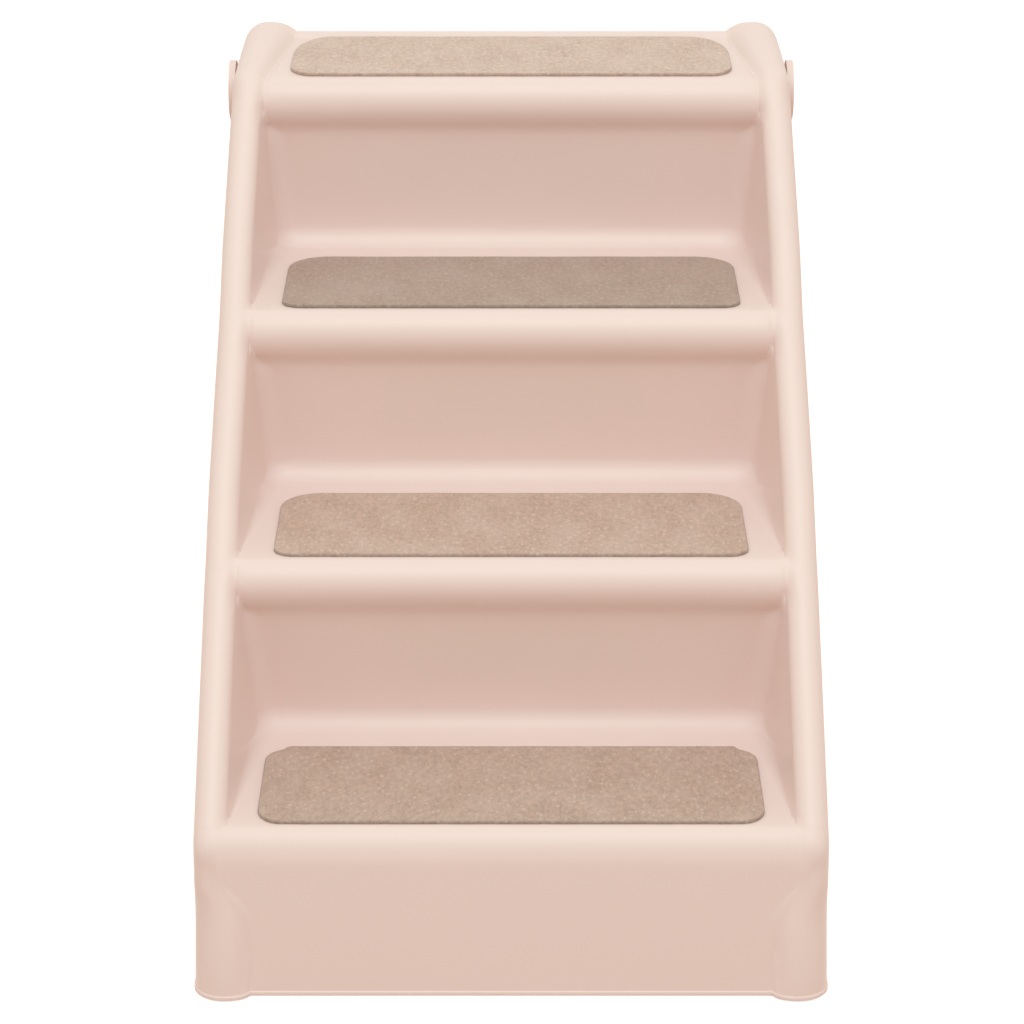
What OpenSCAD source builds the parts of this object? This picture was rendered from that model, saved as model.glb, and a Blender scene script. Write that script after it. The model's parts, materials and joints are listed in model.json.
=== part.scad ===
/* [Flight] */
// Distance from one nosing to the next, measured level
run = 138.4; // [125:0.1:160]
// Height from one tread to the next
rise = 124.3; // [110:0.1:130]
// Height of the lowest tread above the floor
first_tread = 110.6; // [95:0.1:130]
// Length of the top tread, from its nosing to the back edge
top_tread = 145.1; // [135:0.1:180]
// Half the width over the side rails
half_w = 197.9; // [180:0.1:215]

/* [Shell moulding] */
// Wall thickness of the moulding
wall = 3; // [2.5:0.1:4]
// Radius of the rolled nosings
nosing_r = 15; // [12:0.5:18]
// How much further down the lowest nosing rolls
nosing_drop = 8; // [0:0.5:9]
// Distance from a nosing's front to the foot of the riser under it
riser_under = 29.6; // [22:0.1:33]
// Lean of the risers, foot further back than the top
riser_lean = 11; // [6:0.5:13]
// Radius of the cove between tread and riser
cove_r = 12; // [8:0.5:16]
// Radius under a nosing where the riser meets it
under_r = 9; // [6:0.5:12]
// Radius of the rounded side rails
rail_r = 10.5; // [8:0.5:12]
// Radius of the rails' raised ends beside the top tread
knob_r = 17; // [14:0.5:18]
// Height of the raised rail ends over the top tread
knob_h = 11.4; // [8:0.1:14]
// Draft of the pockets' side walls
draft = 6.5; // [4:0.5:8]
// Largest fillet between a step and a side wall
corner_r = 13; // [8:0.5:14]
// Depth of the side walls below the nosing centres, square to the flight
band = 100; // [98:0.5:115]
// Thickness of the stiffening ribs under the flight
rib_t = 2.4; // [2:0.1:3]

/* [Front feet] */
// How far the corner pillars stand out at the floor
pillar_out = 7.6; // [5:0.1:10]
// Radius of the pillars
pillar_r = 19.5; // [15:0.5:21]
// Draft of the front panel, nosing to floor
face_draft = 2.4; // [1:0.1:4]
// Length of the side walls' foot on the floor
side_foot = 110; // [90:1:130]
// Height of the moulding's rim over the floor
rim_z = 0.8; // [0.5:0.1:1.5]
// Height of the lip round the rim
lip_h = 2.8; // [2:0.1:4]
// How far the lip stands out
lip_out = 0.7; // [0.5:0.1:1.5]
// Thickness of the soles that close the front corners
sole_t = 3; // [2:0.1:4]
// Height of a rubber foot
foot_h = 3; // [2.5:0.1:4]

/* [Mats] */
// Thickness of a felt mat
mat_t = 3; // [2.5:0.1:4]
// Depth of the recess that a mat lies in
recess = 0.8; // [0.5:0.1:1.2]
// Distance from a nosing's front to its mat
mat_front = 16.2; // [15.5:0.1:18]
// Distance from a mat's back edge to the next nosing's front
mat_back = 9.2; // [8.5:0.1:30]
// Distance from the outside of the side rails to the lowest mat
mat_side_low = 38.9; // [37:0.1:60]
// Distance from the outside of the side rails to the other mats
mat_side = 43.9; // [42:0.1:60]
// Width of a fastening strip under a mat
strip_w = 25; // [20:1:30]
// Thickness of a fastening strip
strip_t = 0.9; // [0.6:0.1:1.2]
// Play round a mat in its recess
mat_play = 0.5; // [0.3:0.1:1]

/* [Rear leg] */
// Distance of the hinge in front of the top tread's back edge
hinge_in = 61; // [55:0.5:70]
// Distance of the hinge below the top tread
hinge_drop = 26.6; // [25:0.1:30]
// Reach of the rear foot behind the hinge
leg_reach = 110; // [100:0.5:120]
// Radius of the hinge ears
ear_r = 21; // [19:0.5:22]
// Thickness of the hinge ears
ear_t = 4.8; // [4:0.1:5]
// How far the hinge ears stand out past the side rails
ear_out = 2.1; // [1.5:0.1:2.5]
// Depth of the leg's rails
leg_d = 26.5; // [24:0.5:30]
// Width of the leg's rails
leg_rail_w = 28.5; // [26:0.5:32]
// Thickness of the leg's flanges
leg_t = 4; // [3:0.1:4.5]
// Gap between the folded leg and the side walls' edge
fold_gap = 2.7; // [2:0.1:5]
// Width of the leg's cross bars
bar_w = 44; // [36:1:56]
// Radius of the leg's window corners
window_r = 24; // [16:1:30]
// Number of windows in the leg
windows = 2; // [1:1:3]
// Distance of the slide pin's slot behind the rails' front edge
slot_in = 9; // [8.5:0.1:10]

/* [Hinge and stays] */
// Diameter of the hinge pins
hinge_d = 10; // [8:0.5:12]
// Diameter of the stay and slide pins
pin_d = 8; // [7:0.5:9]
// Distance of a stay's pivot from the hinge, down the flight
stay_u = 130; // [120:1:140]
// Distance of a stay's pivot from the hinge, square to the flight, towards the steps
stay_w = 5; // [0:0.5:10]
// Distance of a stay between its two pins
stay_l = 197; // [190:0.5:200]
// Thickness of a stay
stay_t = 8; // [6:0.5:9]
// Half the width of a stay
stay_r = 12; // [10:0.5:14]
// Running clearance of pins in their bores, on the radius
fit = 0.1; // [0.05:0.01:0.1]
// Play of a slide pin across its slot, on the radius
slot_play = 0.5; // [0.45:0.05:0.6]

/* [Hidden] */
$fn = 64;
// Number of steps, which the mats and strips above are named for
steps = 4;
// Overrun of every cut
over = 1;
// Least length that is divided by
tiny = 0.001;

// The flight's own directions in the side view, as [y, z]
slope = atan2(rise, run);
up_flight = [cos(slope), sin(slope)];
into_flight = [sin(slope), -cos(slope)];
// A direction in the side view by its angle: 0 faces the front, 90 faces up
function facing(a) = [-cos(a), sin(a)];

length = lip_out + pillar_out + face_draft + (steps - 1) * run + top_tread - hinge_in + leg_reach;
nose_y = -length / 2 + lip_out + pillar_out + face_draft;
panel_y = nose_y - face_draft;
back_y = nose_y + (steps - 1) * run + top_tread;
top_z = first_tread + (steps - 1) * rise;
hinge = [back_y - hinge_in, top_z - hinge_drop];

function tread_z(i) = first_tread + i * rise;
function roll(i) = [nose_y + nosing_r + i * run, tread_z(i) - nosing_r];
function along(p) = (p - roll(0)) * up_flight;
function sunk(p) = (p - roll(0)) * into_flight;

// Riser of the step over tread i: its foot, and the circles that ease it
function riser_foot(i) = [nose_y + (i + 1) * run + riser_under, tread_z(i)];
function cove_c(i) = riser_foot(i) + cove_r * [-(1 + sin(riser_lean)) / cos(riser_lean), 1];
riser_gap = -(roll(1) - riser_foot(0)) * facing(-riser_lean);
under_a = -riser_lean - acos((riser_gap + under_r) / (nosing_r + under_r));
function under_c(i) = roll(i) + (nosing_r + under_r) * facing(under_a);

// Outer half width at a height: it flares to the floor and narrows to the top
flare = 1.4;
narrow = 4.6;
narrow_from = 220;
narrow_power_share = 1.15;
function side_x(z) = half_w
    + flare * pow(max(0, 1 - z / (first_tread - nosing_r)), 2)
    - narrow * pow(max(0, (z - narrow_from) / (hinge.y - narrow_from)), narrow_power_share);

// Direction in which a pocket's side walls rise from the steps
wall_a = 15;
// How far the rails stand over the nosings, and the ledge between a rail and its pocket wall
rail_proud = 1;
rail_ledge = 1;
crest_a = 90 - slope;
crest_sunk = -nosing_r - rail_proud;
crest_stretch = 1 / cos(crest_a - wall_a);
function crest_h(p) = (sunk(p) - crest_sunk) * crest_stretch;

// One row of the moulding across the flight:
// [place, facing angle, angle of the side walls, rail height, rail radius, stretch, lip]
function flight_row(p, a) = [p, a, wall_a, crest_h(p), rail_r, crest_stretch, 0];

// Front panel rows, from the floor up; the pillars fade into the panel at the last
pillar_top_share = 0.88;
pillar_power_share = 1.6;
pillar_wide_share = 0.5;
pillar_thin_share = 0.9;
arch_power_share = 2.5;
arch_end_share = 1.4;
pillar_top = pillar_top_share * (first_tread - nosing_r);
panel_zs = concat(
    [rim_z, rim_z + lip_h, rim_z + lip_h + lip_out],
    [for (k_share = [0.3, 0.52, 0.7, 0.8, 0.9, 1]) pillar_top * k_share]
);
// The pillars' radius: full below, and down to the rails' where their arched tops end
function panel_r(z) = let (
    thin_share = (z / pillar_top - pillar_wide_share) / (pillar_thin_share - pillar_wide_share),
    left_share = 1 - pow(max(0, min(1, thin_share)), arch_power_share)
) rail_r + (pillar_r - rail_r) * pow(left_share, arch_end_share);
function panel_row(z, k) = let (
    up_share = (z - rim_z) / (low_nose(0).y - rim_z),
    out_share = 1 - min(1, (z - rim_z) / (pillar_top - rim_z))
) [
    [panel_y + face_draft * up_share, z], 0, 0,
    pillar_out * (1 - pow(1 - out_share, pillar_power_share)), panel_r(z), 1, k < 2 ? lip_out : 0
];
// The lowest nosing is a quarter of an ellipse
function low_nose(a) = [
    roll(0).x - nosing_r * cos(a),
    roll(0).y - nosing_drop + (nosing_r + nosing_drop) * sin(a)
];
first_roll_rows = [for (a = [0:30:90]) let (
    p = low_nose(a),
    t_share = a / 90
) [p, a, wall_a * t_share, crest_h(p) * t_share, rail_r, 1 + (crest_stretch - 1) * t_share, 0]];

// Rows of the riser over tread i and of the nosing above it
function cove_rows(i) = [for (k_share = [0, 0.33, 0.67, 1])
    let (a = 90 - k_share * (90 + riser_lean)) flight_row(cove_c(i) - cove_r * facing(a), a)];
function under_rows(i) = [for (k_share = [0, 0.5])
    let (a = -riser_lean + k_share * (under_a + riser_lean))
    flight_row(under_c(i) - under_r * facing(a), a)];
function roll_rows(i) = [for (k_share = [0, 0.2, 0.4, 0.6, 0.8, 1])
    let (a = under_a + k_share * (90 - under_a)) flight_row(roll(i) + nosing_r * facing(a), a)];

// Rows of the top nosing and the top tread, whose rails rise to the knobs
knob_from = 3;
top_rows = [for (k_share = [0, 0.2, 0.4, 0.6, 0.8, 1]) let (
    a = under_a + k_share * (90 - under_a),
    p = roll(steps - 1) + nosing_r * facing(a),
    turn_share = pow(k_share, 2)
) [p, a, wall_a + (90 - wall_a) * turn_share,
    crest_h(p) * (1 - turn_share) + knob_from * turn_share,
    rail_r, crest_stretch + (1 - crest_stretch) * turn_share, 0]];
back_r = 7;
tread_rows = [for (k_share = [0.35, 0.7, 1]) [
    [roll(steps - 1).x + k_share * (back_y - back_r - roll(steps - 1).x), top_z], 90, 90,
    knob_from + (knob_h - knob_from) * k_share, rail_r + (knob_r - rail_r) * k_share, 1, 0
]];
// Behind the knobs, which end in the plane of the back edge
side_set = knob_r - knob_h;
back_rows = [for (k_share = [0.33, 0.67, 1]) let (
    a = 90 + 90 * k_share,
    h = min(knob_h, back_r / sin(a - 90) - back_r)
) [[back_y - back_r, top_z - back_r] + back_r * facing(a), a, a, h, h + side_set, 1, 0]];
skirt_z = roll(0).y - band / cos(slope) + (back_y - roll(0).x) * tan(slope);
skirt_row = [[back_y, skirt_z], 180, 180, 0, side_set, 1, 0];

rows = concat(
    [for (k = [0:len(panel_zs) - 1]) panel_row(panel_zs[k], k)],
    first_roll_rows,
    [for (i = [0:steps - 2]) each concat(
        cove_rows(i), under_rows(i + 1), i < steps - 2 ? roll_rows(i + 1) : top_rows
    )],
    tread_rows, back_rows, [skirt_row]
);
last_row = len(rows) - 1;

// Lower edge of the side walls: up the back of the foot, then along the flight
skirt_cut = 27;
foot_back_y = panel_y + side_foot;
foot_top_z = roll(0).y + ((foot_back_y - roll(0).x) * sin(slope) - band) / cos(slope);
edge_from = along([foot_back_y, foot_top_z]);
edge_to = along([back_y, skirt_z]) - skirt_cut;
function crest_of(row) = along(row[0] + row[3] * facing(row[2]));
// Behind the top tread the rows no longer climb, so they fan out by their depth instead
fan_share = 0.25;
crest_top = crest_of(tread_rows[len(tread_rows) - 1]);
function reach(row) = row[1] > 90 + tiny ? crest_top + (top_z - row[0].y) * fan_share : crest_of(row);
crest_from = reach(rows[0]);
crest_knee = reach(rows[len(panel_zs)]);
crest_to = reach(rows[last_row]);
function lower_edge(row) = let (c = reach(row))
    c < crest_knee
        ? [foot_back_y, rim_z + (foot_top_z - rim_z) * (c - crest_from) / (crest_knee - crest_from)]
        : roll(0) + band * into_flight
            + (edge_from + (edge_to - edge_from) * (c - crest_knee) / (crest_to - crest_knee)) * up_flight;

// Half of a row's section: step, fillet, pocket wall, rail and outer wall
fillet_as = [0, 30, 60, 90];
rail_as = [0, 30, 60, 90, 120, 150, 180];
least_r = 1.5;
fillet_share = 0.45;
function section(row) = let (
    x_out = side_x(row[0].y),
    x_c = x_out - row[4],
    lean = cos(row[1] - row[2]),
    wall_h = max(0, row[3] - row[4] * row[5]),
    foot_x = x_c - row[4] - rail_ledge - wall_h / row[5] * tan(draft),
    r = min(corner_r, fillet_share * wall_h * lean),
    edge = lower_edge(row),
    rail_end = row[0] + (row[3] - row[4] * row[5]) * facing(row[2])
) concat(
    [[0, row[0]]],
    [for (b = fillet_as) let (h = r * (1 - cos(b)) / lean)
        [foot_x - (max(r, least_r)) * (1 - sin(b)) + h / row[5] * tan(draft), row[0] + h * facing(row[2])]],
    [for (g = rail_as) let (h = row[3] - row[4] * row[5] * (1 - sin(g)))
        [x_c - row[4] * cos(g), row[0] + (g < 90 ? max(0, h) : h) * facing(row[2])]],
    [for (k_share = [0.5, 1]) let (p = rail_end + (edge - rail_end) * k_share) [side_x(p.y), p]]
);
outer_n = 2;
half_n = 1 + len(fillet_as) + len(rail_as) + outer_n;
last_col = 2 * half_n - 2;
function whole(half) = [for (j = [0:last_col]) let (
    k = abs(j - half_n + 1),
    side = j < half_n - 1 ? -1 : 1
) [side * half[k][0], half[k][1].x, half[k][1].y]];
skin = [for (row = rows) whole(section(row))];

// Normal of the skin at a grid point: straight sideways on the outer walls, and from its
// neighbours elsewhere
function across(i, j) = skin[i][j + 1] - skin[i][j - 1];
function upward(i, j) = skin[min(last_row, i + 1)][j] - skin[max(0, i - 1)][j];
function normal(i, j) = j < outer_n ? [-1, 0, 0] : j > last_col - outer_n ? [1, 0, 0]
    : let (c = cross(across(i, j), upward(i, j))) c / norm(c);
function lipped(i, j) = let (n = normal(i, j), flat = [n.x, n.y, 0])
    skin[i][j] + rows[i][6] * flat / max(norm(flat), tiny);
function shelled(i, j) = let (p = skin[i][j] - wall * normal(i, j))
    i == 0 ? [p.x, p.y, rim_z] : p;

module moulded_skin() {
    cols = last_col + 1;
    n = (last_row + 1) * cols;
    outer = [for (i = [0:last_row]) for (j = [0:last_col]) lipped(i, j)];
    inner = [for (i = [0:last_row]) for (j = [0:last_col]) shelled(i, j)];
    quads = [for (i = [0:last_row - 1]) for (j = [0:last_col - 1])
        let (a = i * cols + j) [a, a + cols, a + cols + 1, a + 1]];
    edge = concat(
        [for (j = [0:last_col - 1]) j],
        [for (i = [0:last_row - 1]) i * cols + last_col],
        [for (j = [last_col:-1:1]) last_row * cols + j],
        [for (i = [last_row:-1:1]) i * cols]
    );
    rim = [for (k = [0:len(edge) - 1]) let (a = edge[k], b = edge[(k + 1) % len(edge)]) [a, b, b + n, a + n]];
    inside = [for (q = quads) [q[3] + n, q[2] + n, q[1] + n, q[0] + n]];
    polyhedron(
        concat(outer, inner),
        [for (q = concat(quads, inside, rim)) each [[q[0], q[1], q[2]], [q[0], q[2], q[3]]]]
    );
}

// Shapes that repeat
module both() {
    children();
    mirror([1, 0, 0]) children();
}
module rounded(w, l, r) {
    square([w - 2 * r, l], center = true);
    square([w, l - 2 * r], center = true);
    for (x = [-1, 1], y = [-1, 1]) translate([x * (w / 2 - r), y * (l / 2 - r)]) circle(r);
}
// A bar with round ends between two points
module link(p, r_p, q, r_q) {
    a = atan2(q.y - p.y, q.x - p.x);
    b = acos((r_p - r_q) / norm(q - p));
    translate(p) circle(r_p);
    translate(q) circle(r_q);
    polygon([
        p + r_p * [cos(a + b), sin(a + b)], q + r_q * [cos(a + b), sin(a + b)],
        q + r_q * [cos(a - b), sin(a - b)], p + r_p * [cos(a - b), sin(a - b)]
    ]);
}
// A cylinder along x, from x_0 to x_1, at a place in the side view
module crosswise(p, d, x_0, x_1) {
    translate([x_0, p.x, p.y]) rotate([0, 90, 0]) cylinder(h = x_1 - x_0, d = d);
}
// A side-view outline stood up and made x_0 to x_1 wide
module slab(x_0, x_1) {
    translate([x_0, 0, 0]) rotate([90, 0, 90]) linear_extrude(x_1 - x_0) children();
}

// Places in the side view of the leg and the stays
hinge_sunk = sunk(hinge);
leg_front = band - hinge_sunk + fold_gap;
leg_back = leg_front + leg_d;
lean = acos(leg_back / norm([leg_reach, hinge.y - foot_h])) - atan2(hinge.y - foot_h, leg_reach);
fold = 90 - slope + lean;
stay_pivot = hinge - stay_u * up_flight - stay_w * into_flight;
slot_line = leg_front + slot_in;
// The stay's pivot as the leg sees it, as [back, down], with the leg folded by a from rest
function pivot_seen(a) = let (b = atan2(stay_w, stay_u) + fold - a)
    norm([stay_u, stay_w]) * [-sin(b), cos(b)];
function slide_down(a) = let (p = pivot_seen(a)) p.y + sqrt(pow(stay_l, 2) - pow(slot_line - p.x, 2));
slide_open = slide_down(0);
slide_folded = slide_down(fold);
slide_pin = hinge + [slot_line * cos(lean) + slide_open * sin(lean),
    slot_line * sin(lean) - slide_open * cos(lean)];
// Where the stay lies, and how far it turns for each degree of the leg
stay_a = atan2(slide_pin.y - stay_pivot.y, slide_pin.x - stay_pivot.x);
function stay_seen(a, down) = atan2(slot_line - pivot_seen(a).x, down - pivot_seen(a).y);
echo(fold = fold, ratio_share = (stay_seen(0, slide_open) - stay_seen(fold, slide_folded) + fold) / fold);
echo(hinge = hinge, stay_pivot = stay_pivot, slide_pin = slide_pin, length = length);

// Places across the flight, on the right-hand side
boss_proud = 0.3;
boss_x = side_x(hinge.y) + boss_proud;
ear_x = half_w + ear_out;
ear_in = ear_x - ear_t;
ear_join = 1.3;
gap = 0.2;
leg_x = ear_in + ear_join;
rail_in = leg_x - leg_rail_w;
stay_x = (rail_in + leg_x) / 2;
stay_in = stay_x - stay_t / 2;
stay_out = stay_x + stay_t / 2;
hinge_boss_l = 15;
hinge_boss_d = 28;
stay_boss_d = 24;
clip_t = 1.6;
clip_d = 17;
head_t = 1.8;
head_d = 18;
small_head_d = 15;

rail_colour = [0.93, 0.84, 0.78];
felt_colour = [0.76, 0.66, 0.58];
rubber_colour = [0.25, 0.24, 0.24];
steel_colour = [0.75, 0.76, 0.78];
nylon_colour = [0.9, 0.9, 0.87];

// Webs along the flight's underside, from the front panel to the hinge
web_edge = 5;
web_front = 14;
web_xs_shares = [-0.34, 0.34];
// Middle of the wall under a row, at the flight's middle
function mid_skin(i) = let (p = (skin[i][half_n - 1] + shelled(i, half_n - 1)) / 2) [p.y, p.z];
web_back = hinge.x + hinge_boss_d / 2;
web_rows = [for (i = [0:last_row]) if (rows[i][0].y > rim_z + web_front && rows[i][0].x < web_back) i];
function on_web_edge(s) = roll(0) + (band - web_edge) * into_flight + s * up_flight;
module web_outline() {
    start_s = ((rim_z + web_front) - on_web_edge(0).y) / sin(slope);
    end_s = (web_back - on_web_edge(0).x) / cos(slope);
    polygon(concat(
        [[panel_y + wall / 2, rim_z + web_front]],
        [for (i = web_rows) mid_skin(i)],
        [[web_back, top_z - wall / 2], on_web_edge(end_s), on_web_edge(start_s)]
    ));
}

// Outline of a mat, seen from above, with play added all round
mat_front_r = 11.5;
mat_back_r = 26;
mat_low_r = 19;
mat_l = run - mat_front - mat_back;
module mat_outline(i, play) {
    w = half_w - (i == 0 ? mat_side_low : mat_side) + play;
    r_f = (i == 0 ? mat_low_r : mat_front_r) + play;
    r_b = (i == 0 ? mat_low_r : mat_back_r) + play;
    y_f = nose_y + i * run + mat_front - play;
    y_b = nose_y + i * run + mat_front + mat_l + play;
    translate([-w, y_f + r_f]) square([2 * w, y_b - y_f - r_f - r_b]);
    translate([r_f - w, y_f]) square([2 * (w - r_f), 2 * r_f]);
    translate([r_b - w, y_b - 2 * r_b]) square([2 * (w - r_b), 2 * r_b]);
    for (side = [-1, 1]) {
        translate([side * (w - r_f), y_f + r_f]) circle(r_f);
        translate([side * (w - r_b), y_b - r_b]) circle(r_b);
    }
}
strip_l_share = 0.7;
strip_x_share = 0.5;
module strip_outline(i, play) {
    strip_l = mat_l * strip_l_share;
    for (side_share = [-strip_x_share, strip_x_share]) {
        translate([half_w * side_share, nose_y + i * run + mat_front + mat_l / 2])
            square([strip_w + 2 * play, strip_l + 2 * play], center = true);
    }
}
module tread_mat(i) {
    bed = tread_z(i) - recess;
    color(felt_colour) difference() {
        translate([0, 0, bed]) linear_extrude(mat_t) mat_outline(i, 0);
        translate([0, 0, bed - over]) linear_extrude(strip_t + over) strip_outline(i, mat_play);
    }
}
module hook_strips(i) {
    color(nylon_colour) translate([0, 0, tread_z(i) - recess]) linear_extrude(strip_t) strip_outline(i, 0);
}

// Sole of a front corner, seen from above, drawn in from the moulding's outside by a distance
sole_in = 28;
foot_in = 1.2;
foot_l_share = 0.6;
module sole_outline(set) {
    x = side_x(foot_h) - set;
    y = panel_y - pillar_out + pillar_r;
    translate([x - sole_in, y]) square([sole_in, panel_y + side_foot - set - y]);
    translate([side_x(foot_h) - pillar_r, y]) circle(pillar_r - set);
}
module front_foot() {
    foot_set = wall + foot_in;
    color(rubber_colour) linear_extrude(foot_h) intersection() {
        sole_outline(foot_set);
        translate([0, panel_y - pillar_out]) square([half_w, side_foot * foot_l_share]);
    }
}

module stair_shell() {
    color(rail_colour) difference() {
        union() {
            moulded_skin();
            for (k_share = web_xs_shares) {
                x = half_w * k_share;
                slab(x - rib_t / 2, x + rib_t / 2) web_outline();
            }
            both() {
                translate([0, 0, foot_h]) linear_extrude(sole_t) sole_outline(wall / 2);
                crosswise(hinge, hinge_boss_d, boss_x - hinge_boss_l, boss_x);
                crosswise(stay_pivot, stay_boss_d, stay_out + gap, side_x(stay_pivot.y) - wall / 2);
            }
        }
        both() {
            crosswise(hinge, hinge_d + 2 * fit, boss_x - hinge_boss_l - over, ear_x);
            crosswise(stay_pivot, pin_d + 2 * fit, stay_in, ear_x);
        }
        for (i = [0:steps - 1]) {
            translate([0, 0, tread_z(i) - recess]) linear_extrude(mat_t + over) mat_outline(i, mat_play);
        }
    }
}

// Pins with a head and a push-on clip
module headed_pin(p, d, head, x_in, x_head, t) {
    crosswise(p, d, x_in, x_head + t / 2);
    crosswise(p, head, x_head, x_head + t);
}
module ring(p, d_out, d_in, x_0, x_1) {
    difference() {
        crosswise(p, d_out, x_0, x_1);
        crosswise(p, d_in, x_0 - over, x_1 + over);
    }
}
head_seat = ear_x - head_t - gap;
head_play = 0.4;
washer_in = 1;
hinge_clip_x = boss_x - hinge_boss_l - gap;
module hinge_pin() {
    color(steel_colour)
        headed_pin(hinge, hinge_d, head_d, hinge_clip_x - 2 * clip_t, head_seat, head_t);
}
module hinge_washer() {
    color(nylon_colour) ring(hinge, hinge_boss_d - 2 * washer_in, hinge_d + 4 * fit, boss_x, ear_in - gap / 2);
}
module hinge_clip() {
    color(steel_colour) ring(hinge, clip_d, hinge_d + fit, hinge_clip_x - clip_t, hinge_clip_x);
}
stay_clip_x = stay_in - gap;
stay_head_x = side_x(stay_pivot.y) + gap;
module stay_pin() {
    color(steel_colour)
        headed_pin(stay_pivot, pin_d, small_head_d, stay_clip_x - 2 * clip_t, stay_head_x, head_t);
}
module stay_clip() {
    color(steel_colour) ring(stay_pivot, small_head_d, pin_d + fit, stay_clip_x - clip_t, stay_clip_x);
}

// The stay, in its own frame from its pivot along +y, and what rides on it at its sliding end
stay_waist = 1.5;
groove_t = 2;
groove_in = 5;
groove_r = stay_r - groove_in;
groove_from = stay_r + groove_r + groove_in;
module on_stay() {
    translate([0, stay_pivot.x, stay_pivot.y]) rotate([stay_a, 0, 0]) children();
}
module stay() {
    color(rail_colour) on_stay() difference() {
        slab(stay_in, stay_out) {
            translate([0, stay_waist - stay_r]) square([stay_l, 2 * (stay_r - stay_waist)]);
            circle(stay_r);
            translate([stay_l, 0]) circle(stay_r);
        }
        for (x = [stay_in - over, stay_out - groove_t]) {
            slab(x, x + groove_t + over) link([groove_from, 0], groove_r, [stay_l - groove_from, 0], groove_r);
        }
        crosswise([0, 0], pin_d + 2 * fit, stay_in - over, stay_out + over);
        crosswise([stay_l, 0], pin_d + 2 * fit, stay_in - over, stay_out + over);
    }
}
slide_clip_x = rail_in - gap;
slot_r = pin_d / 2 + slot_play;
module slide_pin_solid() {
    color(steel_colour)
        headed_pin(slide_pin, pin_d, small_head_d, slide_clip_x - 2 * clip_t, leg_x + gap, head_t);
}
module slide_spacers() {
    color(nylon_colour) {
        ring(slide_pin, small_head_d, pin_d + 2 * fit, rail_in + leg_t + gap, stay_in - gap);
        ring(slide_pin, small_head_d, pin_d + 2 * fit, stay_out + gap, leg_x - leg_t - gap);
    }
}
module slide_clip() {
    color(steel_colour) ring(slide_pin, small_head_d, pin_d + fit, slide_clip_x - clip_t, slide_clip_x);
}

// The leg in its own frame: y back from the hinge, z up, before it leans
leg_top = 40;
leg_bar_top = 62;
leg_end = (hinge.y + leg_back * sin(lean)) / cos(lean);
sole_up = (hinge.y - foot_h + leg_front * sin(lean)) / cos(lean) - leg_t;
leg_mid = (leg_front + leg_back) / 2;
end_r = leg_d / 2;
end_z = -leg_top - end_r;
ear_clear = 54;
ear_low = slide_open - small_head_d / 2 - end_r - ear_clear;
window_rim = 16;
window_side = 18;
window_w = 2 * (rail_in - window_side);
window_h = (leg_end - leg_bar_top - (windows + 1) * bar_w - foot_h) / windows;
module on_leg() {
    translate([0, hinge.x, hinge.y]) rotate([lean, 0, 0]) children();
}
// What stands on the leg's back plate: an outline in x and z, made from y_0 to y_1
module plate(y_0, y_1) {
    translate([0, y_1, 0]) rotate([90, 0, 0]) linear_extrude(y_1 - y_0) children();
}
function window_z(k) = -leg_bar_top - bar_w - window_h / 2 - k * (bar_w + window_h);
// One rail, a channel open to the front with a round upper end, and its hinge ear
module leg_rail() {
    difference() {
        slab(rail_in, leg_x) {
            translate([leg_front, -leg_end]) square([leg_d, leg_end + end_z]);
            translate([leg_mid, end_z]) circle(end_r);
        }
        slab(rail_in + leg_t, leg_x - leg_t) {
            translate([leg_front - over, -leg_end]) square([leg_d - leg_t + over, leg_end + end_z]);
            translate([leg_mid, end_z]) circle(end_r - leg_t);
        }
    }
    slab(ear_in, ear_x) {
        link([0, 0], ear_r, [leg_mid, end_z], end_r);
        link([leg_mid, end_z], end_r, [leg_mid, -ear_low], end_r);
    }
}
// The back plate with rims round its windows and ribs across its bars
module back_plate() {
    plate(leg_back - leg_t, leg_back) {
        translate([-rail_in - over, -leg_end]) square([2 * rail_in + 2 * over, leg_end - leg_bar_top]);
    }
    plate(leg_back - window_rim, leg_back - leg_t / 2) {
        for (k = [0:windows - 1]) translate([0, window_z(k)])
            rounded(window_w + 2 * leg_t, window_h + 2 * leg_t, window_r + leg_t);
        for (k = [0:windows], side = [-1, 0, 1])
            translate([side * window_w / 3, window_z(k) + (window_h + bar_w) / 2])
                square([rib_t, bar_w - leg_t], center = true);
    }
}
module rear_leg() {
    color(rail_colour) difference() {
        on_leg() difference() {
            union() {
                both() leg_rail();
                back_plate();
                slab(-leg_x, leg_x) translate([leg_front, -leg_end]) square([leg_d, leg_end - sole_up]);
            }
            plate(leg_front, leg_back + over) {
                for (k = [0:windows - 1]) translate([0, window_z(k)]) rounded(window_w, window_h, window_r);
            }
            both() {
                crosswise([0, 0], hinge_d + 2 * fit, ear_in - over, ear_x + over);
                crosswise([0, 0], head_d + 2 * head_play, head_seat - gap, ear_x + over);
                slab(rail_in - over, leg_x + over)
                    link([slot_line, -slide_open], slot_r, [slot_line, -slide_folded], slot_r);
            }
        }
        translate([-half_w - over, 0, foot_h - leg_end]) cube([2 * half_w + 2 * over, length, leg_end]);
    }
}
rear_foot_in = 1.5;
module rear_foot() {
    foot_back = length / 2 - rear_foot_in;
    color(rubber_colour) translate([rail_in + rear_foot_in, foot_back - leg_d + 2 * rear_foot_in, 0])
        cube([leg_rail_w - 2 * rear_foot_in, leg_d - 2 * rear_foot_in, foot_h]);
}

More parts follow.
